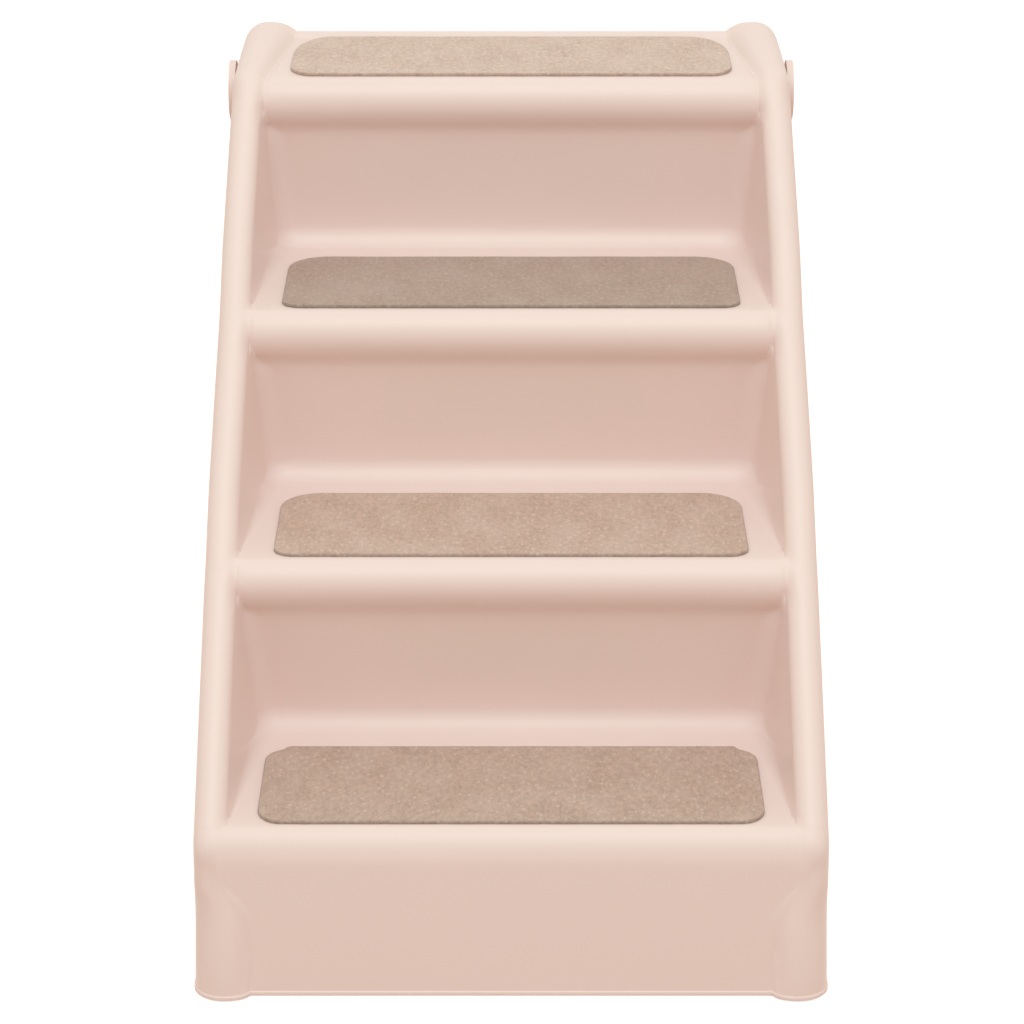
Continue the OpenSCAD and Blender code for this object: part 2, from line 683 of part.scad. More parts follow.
stair_shell();
tread_mat(0);  // tread_mat_1
tread_mat(1);  // tread_mat_2
tread_mat(2);  // tread_mat_3
tread_mat(3);  // tread_mat_4
hook_strips(0);  // hook_strips_1
hook_strips(1);  // hook_strips_2
hook_strips(2);  // hook_strips_3
hook_strips(3);  // hook_strips_4
mirror([1, 0, 0]) front_foot();  // front_foot_left
front_foot();  // front_foot_right
mirror([1, 0, 0]) hinge_pin();  // hinge_pin_left
hinge_pin();  // hinge_pin_right
mirror([1, 0, 0]) hinge_washer();  // hinge_washer_left
hinge_washer();  // hinge_washer_right
mirror([1, 0, 0]) hinge_clip();  // hinge_clip_left
hinge_clip();  // hinge_clip_right
mirror([1, 0, 0]) stay_pin();  // stay_pin_left
stay_pin();  // stay_pin_right
mirror([1, 0, 0]) stay_clip();  // stay_clip_left
stay_clip();  // stay_clip_right
rear_leg();
mirror([1, 0, 0]) rear_foot();  // rear_foot_left
rear_foot();  // rear_foot_right
mirror([1, 0, 0]) stay();  // stay_left
stay();  // stay_right
mirror([1, 0, 0]) slide_pin_solid();  // slide_pin_left
slide_pin_solid();  // slide_pin_right
mirror([1, 0, 0]) slide_spacers();  // slide_spacers_left
slide_spacers();  // slide_spacers_right
mirror([1, 0, 0]) slide_clip();  // slide_clip_left
slide_clip();  // slide_clip_right
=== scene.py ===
"""Folding pet stairs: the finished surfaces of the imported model.

The stair flight's moulding, the felt mats, the rear leg, stays and pins are made here in
metres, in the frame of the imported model: +Y is the way the stairs rise, +Z is up, and the
floor is at 0. Two-number points are places in the side view, as y and z.
"""

import json
import math

import bmesh
import bpy
import numpy as np
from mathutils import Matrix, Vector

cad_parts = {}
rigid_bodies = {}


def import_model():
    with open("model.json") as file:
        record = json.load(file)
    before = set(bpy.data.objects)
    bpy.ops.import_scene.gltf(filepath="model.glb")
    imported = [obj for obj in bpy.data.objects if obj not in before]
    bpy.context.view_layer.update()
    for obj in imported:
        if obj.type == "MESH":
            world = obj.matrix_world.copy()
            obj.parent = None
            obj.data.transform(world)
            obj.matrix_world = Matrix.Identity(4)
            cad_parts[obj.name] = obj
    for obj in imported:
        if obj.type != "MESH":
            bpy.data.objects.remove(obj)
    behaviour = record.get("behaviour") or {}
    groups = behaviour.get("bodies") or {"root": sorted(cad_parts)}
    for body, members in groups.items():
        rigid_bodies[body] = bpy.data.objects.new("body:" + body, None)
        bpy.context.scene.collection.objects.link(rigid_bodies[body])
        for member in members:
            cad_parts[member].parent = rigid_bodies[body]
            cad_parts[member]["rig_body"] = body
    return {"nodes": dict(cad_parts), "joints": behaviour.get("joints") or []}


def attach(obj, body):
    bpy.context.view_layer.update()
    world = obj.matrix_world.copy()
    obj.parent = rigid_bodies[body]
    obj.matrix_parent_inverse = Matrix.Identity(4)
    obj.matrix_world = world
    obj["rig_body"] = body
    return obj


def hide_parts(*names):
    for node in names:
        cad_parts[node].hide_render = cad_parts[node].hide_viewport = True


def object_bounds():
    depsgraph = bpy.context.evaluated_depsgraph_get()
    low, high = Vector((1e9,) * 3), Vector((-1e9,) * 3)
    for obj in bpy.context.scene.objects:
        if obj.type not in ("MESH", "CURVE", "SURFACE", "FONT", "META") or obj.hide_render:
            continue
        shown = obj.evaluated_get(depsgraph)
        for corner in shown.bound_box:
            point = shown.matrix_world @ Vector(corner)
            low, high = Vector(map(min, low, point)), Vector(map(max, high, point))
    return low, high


bl_info = {
    "name": "Folding pet stairs",
    "version": (1, 0, 0),
    "blender": (4, 5, 0),
    "location": "3D View > Sidebar > Pet stairs",
    "description": "Moulded flight, felt mats, folding leg and studio of a pair of pet stairs",
    "category": "Object",
}

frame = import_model()
CAD_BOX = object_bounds()
MM = 0.001
STEPS = 4
# Columns of points down each outer wall
OUTER_COLS = 14
# Painted light and shade: how much lighter or darker each mat is painted as a whole, from the
# lowest up
MAT_PAINTED_LIGHT = (0.97, 1.06, 0.80, 1.19)
HINGE = np.array(frame["joints"][0]["pos_m"][1:3])
STAY_PIVOT = np.array(frame["joints"][1]["pos_m"][1:3])


def facing(a):
    """Unit vector in the side view for an angle in radians: 0 faces the front, 90 degrees up."""
    return np.stack([-np.cos(a), np.sin(a)], -1)


def length_prop(name, description, default):
    """A size in metres."""
    return bpy.props.FloatProperty(
        name=name, description=description, default=default, min=0, unit="LENGTH", precision=4
    )


def colour_prop(name, description, hex_value):
    """A colour, given as an sRGB hex value and kept linear."""
    return bpy.props.FloatVectorProperty(
        name=name, description=description, default=linear(hex_value), size=3,
        min=0, max=1, subtype="COLOR",
    )


def linear(hex_value):
    """sRGB hex to linear: c / 12.92 below 0.04045, else ((c + 0.055) / 1.055) to the power 2.4."""
    c = [int(hex_value[k:k + 2], 16) / 255 for k in (1, 3, 5)]
    return tuple(v / 12.92 if v < 0.04045 else ((v + 0.055) / 1.055) ** 2.4 for v in c)


class FlightSizes(bpy.types.PropertyGroup):
    """Sizes of the moulded flight"""

    run: length_prop("Going", "Level distance from one nosing to the next", 0.1384)
    rise: length_prop("Rise", "Height from one tread to the next", 0.1243)
    first_tread: length_prop("First tread", "Height of the lowest tread", 0.1106)
    top_tread: length_prop("Top tread", "Length of the top tread", 0.1451)
    half_w: length_prop("Half width", "Half the width over the side rails", 0.1979)
    wall: length_prop("Wall", "Wall thickness of the moulding", 0.003)
    nosing_r: length_prop("Nosing radius", "Radius of the rolled nosings", 0.015)
    nosing_drop: length_prop("Lowest nosing", "How much further down the lowest one rolls", 0.008)
    rail_r: length_prop("Rail radius", "Radius of the side rails", 0.0105)
    knob_r: length_prop("Rear crest radius", "Radius of the rails' raised rear ends", 0.017)
    knob_h: length_prop("Rear crest height", "Height of the raised rail ends", 0.0104)
    rear_lip: length_prop("Rear lip", "How far the top tread turns up at its rear edge", 0.0038)
    corner_r: length_prop("Pocket fillet", "Fillet between steps and side walls", 0.013)
    pillar_out: length_prop("Pillar depth", "How far the corner pillars stand out", 0.0076)
    band: length_prop("Side wall depth", "Side walls below the nosings", 0.1)


class MatSizes(bpy.types.PropertyGroup):
    """Sizes of the felt mats"""

    proud: length_prop("Height", "How far the felt stands over the tread", 0.0022)
    front: length_prop("Front gap", "From a nosing's front to its mat", 0.0162)
    length: length_prop("Length", "Length of a mat, front to back", 0.113)
    half_low: length_prop("Lowest half width", "Half the width of the lowest mat", 0.159)
    half: length_prop("Half width", "Half the width of the other mats", 0.154)


class FinishColours(bpy.types.PropertyGroup):
    """Colours of the finishes"""

    plastic: colour_prop("Plastic", "Moulded polypropylene", "#F1DCD7")
    felt: colour_prop("Felt", "Ground colour of the mats", "#C0A393")
    felt_light: colour_prop("Felt, light fibres", "Light fibres in the mats", "#DEC9BE")
    rubber: colour_prop("Rubber", "Feet", "#3D3A38")
    nylon: colour_prop("Nylon", "Washers and spacers", "#E9E6DE")
    zinc: colour_prop("Zinc", "Plated steel pins and clips", "#C6C8CA")
    floor: colour_prop("Floor", "Studio floor", "#D4C2BB")


class Flight:
    """Side-view construction of the moulded flight, with the sizes that no property sets."""

    # Risers: how far a foot lies behind the nosing over it, lean, and the radii of the cove at the
    # foot, of the nosing's lower half and of the hollow between that and the riser
    riser_under = 29.6 * MM
    riser_lean = math.radians(11)
    cove_r = 12 * MM
    low_r = 22 * MM
    under_r = 14 * MM
    # Outer walls: spread at the floor, and how much nearer they stand at the hinge's height
    flare = 1.4 * MM
    taper = 4.6 * MM
    taper_from = 220 * MM
    # Pocket walls: the way they rise, their draft, how much further in their foot stands, and the
    # least width of the fillet there
    wall_a = math.radians(15)
    draft = math.tan(math.radians(6.5))
    wall_in = 1 * MM
    least_fillet = 1.5 * MM
    # Front panel, the lip round its foot, and the pillars: width over a rail's, and arched tops
    face_draft = 2.4 * MM
    rim_z = 0.8 * MM
    lip_h = 2.8 * MM
    lip_out = 0.7 * MM
    pillar_wide = 9 * MM
    arch_from = 42 * MM
    arch_h = 34 * MM
    pillar_groove = 2.6 * MM
    # Share of an ellipse in a pillar's inner flank; the rest is a circle
    steep_share = 0.7
    # Lower edge: depth of the side foot, and how far short of the back edge it ends
    side_foot = 110 * MM
    edge_short = 27 * MM
    # Radius round which the top tread turns down into the skirt
    back_r = 10.5 * MM
    # Rails: height over the nosings, how softly they leave the steps, how much wider their bell
    # is than a circle, the groove at their foot, and their height where the top tread begins
    rail_over = 1 * MM
    soft = 3.5 * MM
    spread = 2 * MM
    groove = 1.4 * MM
    groove_w = 3 * MM
    crest_from = 4.5 * MM
    # Webs: gap to the rim and to the lower edge, and how far they reach behind the hinge
    web_up = 14 * MM
    web_short = 5 * MM
    web_past = 14 * MM

    def __init__(self, s):
        for key in s.__annotations__:
            setattr(self, key, getattr(s, key))
        self.nose_y = CAD_BOX[0][1] + self.lip_out + self.pillar_out + self.face_draft
        self.panel_y = self.nose_y - self.face_draft
        self.back_y = self.nose_y + (STEPS - 1) * self.run + self.top_tread
        self.top_z = self.first_tread + (STEPS - 1) * self.rise
        self.slope = math.atan2(self.rise, self.run)
        self.up = np.array([math.cos(self.slope), math.sin(self.slope)])
        self.into = np.array([math.sin(self.slope), -math.cos(self.slope)])
        self.stretch = 1 / math.cos(math.pi / 2 - self.slope - self.wall_a)
        self.crest_sunk = -self.nosing_r - self.rail_over
        gap = -float((self.low_roll(1) - self.riser_foot(0)) @ facing(-self.riser_lean))
        turn = math.acos((gap + self.under_r) / (self.low_r + self.under_r))
        self.under_a = -self.riser_lean - turn

    def tread_z(self, i):
        """Height of tread i: the first tread's, and i rises more."""
        return self.first_tread + i * self.rise

    def roll(self, i):
        """Centre of the nosing roll of tread i."""
        y = self.nose_y + self.nosing_r + i * self.run
        return np.array([y, self.tread_z(i) - self.nosing_r])

    def low_roll(self, i):
        """Centre of the wider arc of that roll's lower half, which has the same foremost point."""
        return self.roll(i) + [self.low_r - self.nosing_r, 0]

    def riser_foot(self, i):
        """Where the riser over tread i would meet it if there were no cove."""
        return np.array([self.nose_y + (i + 1) * self.run + self.riser_under, self.tread_z(i)])

    def cove(self, i):
        """Centre of the cove between tread i and the riser over it."""
        forward = (1 + math.sin(self.riser_lean)) / math.cos(self.riser_lean)
        return self.riser_foot(i) + self.cove_r * np.array([-forward, 1])

    def under(self, i):
        """Centre of the hollow between the nosing of tread i and the riser under it."""
        return self.low_roll(i) + (self.low_r + self.under_r) * facing(self.under_a)

    def along(self, p):
        """How far a point lies up the line through the rolls' centres, from the first one."""
        return (p - self.roll(0)) @ self.up

    def sunk(self, p):
        """How far a point lies under that line."""
        return (p - self.roll(0)) @ self.into

    def crest_h(self, p):
        """Height of the side rails' crest over a point, along the pocket walls' direction."""
        return (self.sunk(p) - self.crest_sunk) * self.stretch

    def side_x(self, z):
        """Outer half width at a height: half width, plus a flare to the floor that grows with the
        square of the depth below the first nosing, less a taper that grows with height."""
        below = np.clip(1 - z / (self.first_tread - self.nosing_r), 0, None)
        above = np.clip((z - self.taper_from) / (HINGE[1] - self.taper_from), 0, None)
        return self.half_w + self.flare * below ** 2 - self.taper * above ** 1.15


def profile_rows(f):
    """Rows of the moulding from the front rim, up every step and round the back edge.

    A row holds a place p, the way a the surface faces there, the way w in which the pocket's side
    wall rises, the rail's height h and radius r, the stretch s of heights along w, the softness k
    with which the rail leaves the step, how far the lip stands out, how far the rail's inner half
    turns from a circle to a bell, and the depth of the groove at its foot. Arcs are stepped evenly
    in angle and straights evenly in length, with closer steps at the lips."""
    rows = []

    def add(p, a, w, h, r, s, k=f.soft, lip=0.0, bell=0.0, groove=0.0):
        """Adds rows at places p, with values given for each or one for all."""
        n = np.ones(len(p))
        values = [p, a * n, w * n, h * n, r * n, s * n, k * n, lip * n, bell * n, groove * n]
        rows.append(np.column_stack(values))

    # Front panel: the pillars' arched tops narrow and sink into it, a little under the first roll
    lip_z = f.rim_z + f.lip_h
    low_z = f.roll(0)[1] - f.nosing_drop
    z = np.concatenate([
        f.rim_z + np.array([0, 0.25, 0.8, 2.2, 2.6, 2.8, 3.1, 3.7]) * MM,
        np.linspace(lip_z + 3 * MM, low_z, 40)[:-1],
    ])
    lip_up = np.array([0, 0.25, 0.8, 2.2, 2.6, 2.8, 3.1]) * MM
    lip = np.interp(z - f.rim_z, lip_up, np.array([0.35, 0.6, 0.7, 0.7, 0.55, 0.25, 0]) * MM)
    y = f.panel_y + f.face_draft * (z - f.rim_z) / (low_z - f.rim_z)
    top = 0.88 * f.roll(0)[1]
    sunk_share = np.clip((z - f.rim_z) / (top - f.rim_z), 0, 1)
    narrow_share = np.clip((z - f.arch_from) / f.arch_h, 0, 1)
    out = f.pillar_out * (1 - sunk_share ** 2) ** 1.7
    pillar = f.pillar_wide * (1 - narrow_share ** 2.5) ** 1.4
    # Their inner flank leaves the panel more softly further up; the groove at its foot fades up
    # and down
    soft = np.interp(z, [15 * MM, 60 * MM], [0.5 * MM, 3.0 * MM])
    deep_share = np.interp(z, np.array([4, 14, 30, 45, 66]) * MM, [0, 0.75, 1, 0.7, 0])
    groove = f.pillar_groove * deep_share
    add(np.column_stack([y, z]), 0, 0, out, f.rail_r + pillar, 1, soft, lip, groove=groove)

    # First nosing, a quarter of an ellipse: the side walls start from nothing
    t = np.linspace(0, 1, 25)[:-1]
    radii = [f.nosing_r, f.nosing_r + f.nosing_drop]
    p = np.array([f.roll(0)[0], low_z]) + facing(t * math.pi / 2) * radii
    ease = t * t * (3 - 2 * t)
    add(p, t * math.pi / 2, f.wall_a * t, f.crest_h(p) * ease, f.rail_r, 1 + (f.stretch - 1) * t)

    for i in range(STEPS - 1):
        top_next = i == STEPS - 2
        # Tread, cove, riser, and the hollow under the next nosing
        t = np.linspace(0, 1, 13)[:-1, None]
        start = np.array([f.roll(i)[0], f.tread_z(i)])
        end = np.array([f.cove(i)[0], f.tread_z(i)])
        tread = start + t * (end - start)
        cove_a = math.pi / 2 - np.linspace(0, 1, 11)[:-1] * (math.pi / 2 + f.riser_lean)
        cove = f.cove(i) - f.cove_r * facing(cove_a)
        start = f.cove(i) - f.cove_r * facing(-f.riser_lean)
        end = f.under(i + 1) - f.under_r * facing(-f.riser_lean)
        riser = start + t * (end - start)
        under_a = -f.riser_lean + np.linspace(0, 1, 7)[:-1] * (f.under_a + f.riser_lean)
        under = f.under(i + 1) - f.under_r * facing(under_a)
        for p, a in (
            (tread, math.pi / 2), (cove, cove_a), (riser, -f.riser_lean), (under, under_a),
        ):
            add(p, a, f.wall_a, f.crest_h(p), f.rail_r, f.stretch)
        # Nosing; at the top one the walls turn upright and become the rear crests
        t = np.linspace(0, 1, 21)[:-1]
        a = f.under_a + t * (math.pi / 2 - f.under_a)
        upper = f.roll(i + 1) + f.nosing_r * facing(a)
        lower = f.low_roll(i + 1) + f.low_r * facing(a)
        p = np.where(a[:, None] < 0, lower, upper)
        turn = t ** 2 if top_next else 0 * t
        groove = f.groove * (np.sin(math.pi * t / 2) if top_next else np.sin(math.pi * t) ** 0.5)
        add(p, a, f.wall_a + (math.pi / 2 - f.wall_a) * turn,
            f.crest_h(p) * (1 - turn) + f.crest_from * turn, f.rail_r,
            f.stretch + (1 - f.stretch) * turn,
            bell=1 - (1 - t) ** 2 if top_next else 0, groove=groove)

    # Top tread, whose last stretch turns up in the rear lip
    lip_from = 0.932
    t = np.concatenate([np.linspace(0, 0.92, 15)[:-1], np.linspace(0.92, 1, 11)[:-1]])
    ease = 1 - (1 - t) ** 1.6
    up = np.clip((t - lip_from) / (1 - lip_from), 0, 1)
    up = f.rear_lip * up * up * (3 - 2 * up)
    start = f.roll(STEPS - 1)[0]
    y = start + t * (f.back_y - f.back_r - start)
    add(np.column_stack([y, f.top_z + up]), math.pi / 2, math.pi / 2,
        f.crest_from + (f.knob_h - f.crest_from) * ease - up,
        f.rail_r + (f.knob_r - f.rail_r) * t, 1, bell=1, groove=f.groove * (1 - t ** 6))

    # Back edge and skirt: the crests' height over the lip runs out round the edge
    a = math.pi / 2 + np.linspace(0, 1, 11) * math.pi / 2
    over_lip = f.knob_h - f.rear_lip
    set_in = f.knob_r - over_lip
    past = f.back_r / np.maximum(np.sin(a - math.pi / 2), 1e-6) - f.back_r
    h = np.minimum(over_lip, past)
    centre = np.array([f.back_y - f.back_r, f.top_z + f.rear_lip - f.back_r])
    add(centre + f.back_r * facing(a), a, a, h, h + set_in, 1, np.minimum(f.soft, 0.8 * h), bell=1)
    skirt_z = f.roll(0)[1] - f.band / math.cos(f.slope)
    skirt_z += (f.back_y - f.roll(0)[0]) * math.tan(f.slope)
    p = np.column_stack([np.full(4, f.back_y), np.linspace(centre[1], skirt_z, 5)[1:]])
    add(p, math.pi, math.pi, 0, set_in, 1, 0, bell=1)
    return np.concatenate(rows)


def lower_edge(f, rows):
    """Place in the side view where each row's outer wall ends: up the back of the foot for the
    front rows, then along a line that is the band's depth below the nosings. Behind the top tread,
    where the rows no longer climb, they fan out by a quarter of their depth below it."""
    crest = f.along(rows[:, :2] + rows[:, 4:5] * facing(rows[:, 3]))
    behind = rows[:, 2] > math.pi / 2 + 1e-6
    crest[behind] = crest[np.argmax(behind) - 1] + (f.top_z + f.rear_lip - rows[behind, 1]) / 4
    foot_y = f.panel_y + f.side_foot
    fall = (foot_y - f.roll(0)[0]) * math.sin(f.slope) - f.band
    foot_z = f.roll(0)[1] + fall / math.cos(f.slope)
    knee_row = int(np.argmax(rows[:, 1] >= f.roll(0)[1] - 1e-9))
    knee, first, last = crest[knee_row], crest[0], crest[-1]
    up_foot = np.clip((crest - first) / (knee - first), 0, 1)
    edge_from = f.along(np.array([foot_y, foot_z]))
    edge_to = f.along(rows[-1, :2]) - f.edge_short
    s = edge_from + (edge_to - edge_from) * (crest - knee) / (last - knee)
    on_band = f.roll(0) + f.band * f.into + s[:, None] * f.up
    on_foot = np.column_stack([np.full(len(rows), foot_y), f.rim_z + (foot_z - f.rim_z) * up_foot])
    return np.where((crest < knee)[:, None], on_foot, on_band)


def half_section(f, rows):
    """Points across one half of every row, from the middle of a step to the outer wall's edge.

    Step: flat. Fillet: a quarter circle of the pocket's corner radius. Pocket wall: straight, with
    draft. Rail: x = centre - r cos(g) and height = h - r s (1 - sin(g)) for g from 0 to 180
    degrees; where that is below the step it is eased to 0, by (v + sqrt(v v + k k)) / 2 with k
    falling to nothing at the crest, less what that adds at g = 0, which fades as cos(g) squared.
    Bell: its inner half is wider by spread, which grows with the radius, and its height at a share
    q of the way from the crest to the foot is h times (1 - q^3) to the power 1.2. On the front
    panel the inner half is partly, by steep_share, an ellipse with the same foot, which is steep
    there, and fades by 1 - cos(g)^10, so that it leaves no crease at g = 0. Groove: its depth times
    e to the power -(d / groove_w)^2, with d the distance across from the rail's foot, or from
    2.5 mm up a pillar's flank. Outer wall: straight in the side view, at side_x across."""
    p, a, w, h, r, s, soft, bell = rows[:, :2], *rows[:, 2:8].T, rows[:, 9]
    x_c = f.side_x(p[:, 1]) - r
    lean = np.cos(a - w)
    wall_h = np.maximum(0, h - r * s)
    inner_r = r + f.spread * bell * np.clip(r / f.rail_r, 0, 2) ** 1.4
    half_ellipse = np.sqrt(np.maximum(h * (2 * r - h), 1e-12))
    on_panel = (a == 0) & (w == 0)
    foot_x = x_c - inner_r - f.wall_in - wall_h / s * f.draft
    groove_x = x_c - np.where(on_panel, half_ellipse - 2.5 * MM, 0.93 * inner_r)
    fillet = np.minimum(f.corner_r, 0.45 * wall_h * lean)
    least = np.maximum(fillet, f.least_fillet)
    xs, hs = [], []
    for k in np.linspace(0, 1, 11)[:-1]:
        xs.append((foot_x - least) * math.sin(k * math.pi / 2))
        hs.append(0 * h)
    for b in np.linspace(0, math.pi / 2, 9):
        rise = fillet * (1 - math.cos(b)) / lean
        xs.append(foot_x - least * (1 - math.sin(b)) + rise / s * f.draft)
        hs.append(rise)
    x_top, h_top = x_c - inner_r, wall_h
    x_low, h_low = xs[-1], hs[-1]
    for k in np.linspace(0, 1, 8)[1:-1]:
        xs.append(x_low + k * (x_top - x_low))
        hs.append(h_low + k * (h_top - h_low))
    for g in np.linspace(0, math.pi, 25):
        v = h - r * s * (1 - math.sin(g))
        if g < math.pi / 2:
            k = soft * math.cos(g) ** 0.5
            q = r * math.cos(g) / half_ellipse
            steep = h * np.sqrt(np.clip(1 - q * q, 0, 1)) - h * np.clip(q - 1, 0, None)
            lowest = f.steep_share * h * (1 - r / half_ellipse) + (1 - f.steep_share) * (h - r)
            low = np.where(on_panel, lowest, h - r * s)
            v = np.where(on_panel, f.steep_share * steep + (1 - f.steep_share) * v, v)
            eased = [(u + np.sqrt(u * u + k * k)) / 2 for u in (v, low)]
            v = eased[0] - (eased[1] - wall_h) * math.cos(g) ** 2
            v *= np.where(on_panel, 1 - math.cos(g) ** 10, 1)
            share = (1 - math.cos(g) ** 3) ** 1.2
            v += bell * (wall_h + (h - wall_h) * share - v)
        xs.append(x_c - np.where(g < math.pi / 2, inner_r, r) * math.cos(g))
        hs.append(v)
    xs, hs = np.array(xs).T, np.array(hs).T
    away = (xs - groove_x[:, None]) / f.groove_w
    hs -= rows[:, 10:11] * np.exp(-away * away) * (xs < x_c[:, None])
    side = p[:, None] + hs[..., None] * facing(w)[:, None]
    end = p + (h - r * s)[:, None] * facing(w)
    k = np.linspace(0, 1, OUTER_COLS + 1)[None, 1:, None]
    outer = end[:, None] + k * (lower_edge(f, rows) - end)[:, None]
    side = np.concatenate([side, outer], 1)
    xs = np.concatenate([xs, f.side_x(outer[..., 1])], 1)
    return xs, side


def grid_normals(grid):
    """Unit normals of a grid of points, from the cross product of central differences."""
    down = np.gradient(grid, axis=0)
    across = np.gradient(grid, axis=1)
    n = np.cross(across, down)
    return n / np.maximum(np.linalg.norm(n, axis=-1, keepdims=True), 1e-12)


def grid_quads(rows, cols, start=0):
    """Quads of a grid of vertices numbered row by row."""
    i, j = np.meshgrid(np.arange(rows - 1), np.arange(cols - 1), indexing="ij")
    a = (start + i * cols + j).ravel()
    return np.column_stack([a, a + cols, a + cols + 1, a + 1])


def shell_mesh(f):
    """Both skins of the moulding and the rim between them: the inner skin is the outer one moved
    inwards by the wall's thickness along its normals, which point straight sideways on the outer
    walls."""
    rows = profile_rows(f)
    xs, side = half_section(f, rows)
    left = np.concatenate([-xs[..., None], side], -1)[:, :0:-1]
    right = np.concatenate([xs[..., None], side], -1)
    outer = np.concatenate([left, right], 1)
    n = grid_normals(outer)
    n[:, :OUTER_COLS] = (-1, 0, 0)
    n[:, -OUTER_COLS:] = (1, 0, 0)
    level = n * [1, 1, 0]
    level /= np.maximum(np.linalg.norm(level, axis=-1, keepdims=True), 1e-9)
    inner = outer - f.wall * n
    inner[0, :, 2] = f.rim_z
    outer = outer + rows[:, 8][:, None, None] * level
    r, c = outer.shape[:2]
    quads = grid_quads(r, c)
    edge = np.concatenate([
        np.arange(c - 1), np.arange(r - 1) * c + c - 1,
        (r - 1) * c + np.arange(c - 1, 0, -1), np.arange(r - 1, 0, -1) * c,
    ])
    after = np.roll(edge, -1)
    rim = np.column_stack([edge, after, after + r * c, edge + r * c])
    verts = np.concatenate([outer.reshape(-1, 3), inner.reshape(-1, 3)])
    return verts, np.concatenate([quads, quads[:, ::-1] + r * c, rim])[:, ::-1]


def web_mesh(f, x, thick):
    """One stiffening web: a flat plate whose upper line follows the middle of the steps' wall and
    whose lower line runs parallel to the flight, as two many-sided faces and the strip between."""
    rows = profile_rows(f)
    keep = (rows[:, 0] < HINGE[0] + f.web_past) & (rows[:, 1] > f.rim_z + f.web_up)
    top = (rows[keep, :2] - f.wall / 2 * facing(rows[keep, 2]))[::2]
    line = f.roll(0) + (f.band - f.web_short) * f.into
    start = (f.rim_z + f.web_up - line[1]) / math.sin(f.slope)
    end = (top[-1, 0] - line[0]) / math.cos(f.slope)
    outline = np.concatenate([top, [line + end * f.up, line + start * f.up]])
    n = len(outline)
    verts = np.concatenate([
        np.column_stack([np.full(n, x - thick / 2), outline]),
        np.column_stack([np.full(n, x + thick / 2), outline]),
    ])
    a = np.arange(n)
    b = np.roll(a, -1)
    strip = np.column_stack([a, b, b + n, a + n])[:, ::-1].tolist()
    return verts, [a.tolist(), (a[::-1] + n).tolist(), *strip]


def turned_mesh(centre, profile, segments=64):
    """A bored solid turned about a line along x: profile points are (x, radius), from one end of
    the bore over the outside to the other, every ring is radius times (cos t, sin t) round the
    centre, and a band of quads joins each ring to the next and the last one to the first."""
    profile = np.array(profile)
    t = np.linspace(0, 2 * math.pi, segments, endpoint=False)
    side = centre + profile[:, 1, None, None] * np.stack([np.cos(t), np.sin(t)], -1)
    xs = np.broadcast_to(profile[:, 0, None, None], side.shape[:2] + (1,))
    verts = np.concatenate([xs, side], -1).reshape(-1, 3)
    rings = np.arange(len(verts)).reshape(len(profile), segments)
    after, turned = np.roll(rings, -1, 0), np.roll(rings, -1, 1)
    corners = [rings, turned, np.roll(after, -1, 1), after]
    return verts, np.stack(corners, -1).reshape(-1, 4)


def rounded_profile(points, r):
    """A turned profile with every corner but its two ends cut back by up to r and rounded: five
    points of a quadratic curve, (1-t)^2 a + 2 t (1-t) corner + t^2 b, stand in for each corner."""
    pts = np.array(points, float)
    out = [pts[0]]
    for k in range(1, len(pts) - 1):
        a, c, b = pts[k - 1], pts[k], pts[k + 1]
        cut = min(r, 0.45 * np.linalg.norm(a - c), 0.45 * np.linalg.norm(b - c))
        p = c + cut * (a - c) / np.linalg.norm(a - c)
        q = c + cut * (b - c) / np.linalg.norm(b - c)
        for t in (0, 0.25, 0.5, 0.75, 1):
            out.append((1 - t) ** 2 * p + 2 * t * (1 - t) * c + t * t * q)
    out.append(pts[-1])
    return out


def merged(parts):
    """Several meshes as one: vertices end to end and faces renumbered."""
    verts, faces, start = [], [], 0
    for v, part_faces in parts:
        verts.append(v)
        faces += [[k + start for k in face] for face in face_list(part_faces)]
        start += len(v)
    return np.concatenate(verts), faces


def face_list(faces):
    """Faces as lists, from lists or an array."""
    return faces if isinstance(faces, list) else faces.tolist()


def flipped_x(part):
    """The mirror image in x, with each face's order reversed so that it still points outwards."""
    verts, faces = part
    return verts * [-1, 1, 1], [face[::-1] for face in face_list(faces)]


def finish_piece(name, mesh, look, body, replaces, smooth=35.0):
    """Puts a mesh into an object that rides on a body. Edges sharper than the given angle, in
    degrees, are shaded as edges."""
    mesh.polygons.foreach_set("use_smooth", np.ones(len(mesh.polygons), bool))
    mesh.set_sharp_from_angle(angle=math.radians(smooth))
    mesh.materials.clear()
    mesh.materials.append(look)
    piece = bpy.data.objects.new(name, mesh)
    bpy.context.scene.collection.objects.link(piece)
    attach(piece, body)
    if replaces:
        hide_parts(*replaces)
    return piece


def make_piece(name, part, look, body, replaces=(), smooth=35.0):
    """A piece made of numpy vertices and faces."""
    verts, faces = part
    mesh = bpy.data.meshes.new(name)
    mesh.from_pydata(verts, [], face_list(faces))
    mesh.validate()
    return finish_piece(name, mesh, look, body, replaces, smooth)


def softened_copy(name, node, look, body, width):
    """A copy of a node's mesh with its loose triangles merged and flattened into whole faces, and a
    Bevel that rounds its edges by the given width."""
    mesh = frame["nodes"][node].data.copy()
    mesh.name = name
    work = bmesh.new()
    work.from_mesh(mesh)
    bmesh.ops.remove_doubles(work, verts=work.verts, dist=0.01 * MM)
    bmesh.ops.dissolve_limit(
        work, angle_limit=math.radians(1.5), verts=work.verts, edges=work.edges
    )
    work.to_mesh(mesh)
    work.free()
    piece = finish_piece(name, mesh, look, body, [node])
    bevel = piece.modifiers.new("Moulded edges", "BEVEL")
    bevel.width = width
    bevel.segments = 2
    bevel.limit_method = "ANGLE"
    bevel.angle_limit = math.radians(32)
    bevel.use_clamp_overlap = True
    bevel.harden_normals = True


# Materials


